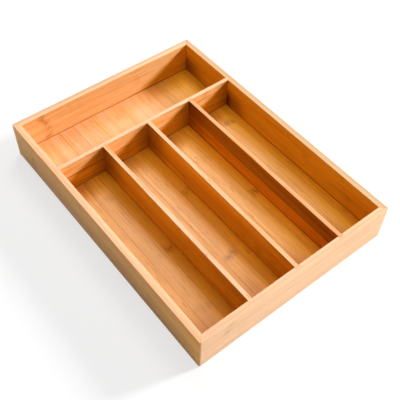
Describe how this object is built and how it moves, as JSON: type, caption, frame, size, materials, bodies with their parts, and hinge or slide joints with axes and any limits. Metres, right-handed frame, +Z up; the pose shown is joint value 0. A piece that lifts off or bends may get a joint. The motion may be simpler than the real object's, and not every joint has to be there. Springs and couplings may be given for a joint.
{
  "type": "cutlery tray",
  "caption": "Rectangular bamboo tray with mitred walls, a base of edge-glued staves in a groove, and housed dividers, for keeping cutlery sorted in a drawer.",
  "frame": {"origin": "middle of the tray's footprint, on the surface that it stands on", "axes": "+Z up out of the compartments, +Y from the long compartments to the back compartment, along the tray's long side, +X to the right along its short side"},
  "size_m": [0.26, 0.355, 0.05],
  "materials": {
    "wall_bamboo": "planed and sanded bamboo board with a thin satin oil finish, straight grain along each board",
    "divider_bamboo": "planed and sanded bamboo board with a thin satin oil finish, straight grain along each board",
    "base_bamboo": "sanded bamboo staves with a thin satin oil finish, grain front to back, darker knuckle marks"
  },
  "bodies": {
    "root": {"front_wall": "wall_bamboo", "back_wall": "wall_bamboo", "left_wall": "wall_bamboo", "right_wall": "wall_bamboo", "cross_divider": "divider_bamboo", "left_divider": "divider_bamboo", "middle_divider": "divider_bamboo", "right_divider": "divider_bamboo", "base_stave_01": "base_bamboo", "base_stave_02": "base_bamboo", "base_stave_03": "base_bamboo", "base_stave_04": "base_bamboo", "base_stave_05": "base_bamboo", "base_stave_06": "base_bamboo", "base_stave_07": "base_bamboo", "base_stave_08": "base_bamboo", "base_stave_09": "base_bamboo", "base_stave_10": "base_bamboo", "base_stave_11": "base_bamboo", "base_stave_12": "base_bamboo", "base_stave_13": "base_bamboo"}
  },
  "joints": []
}
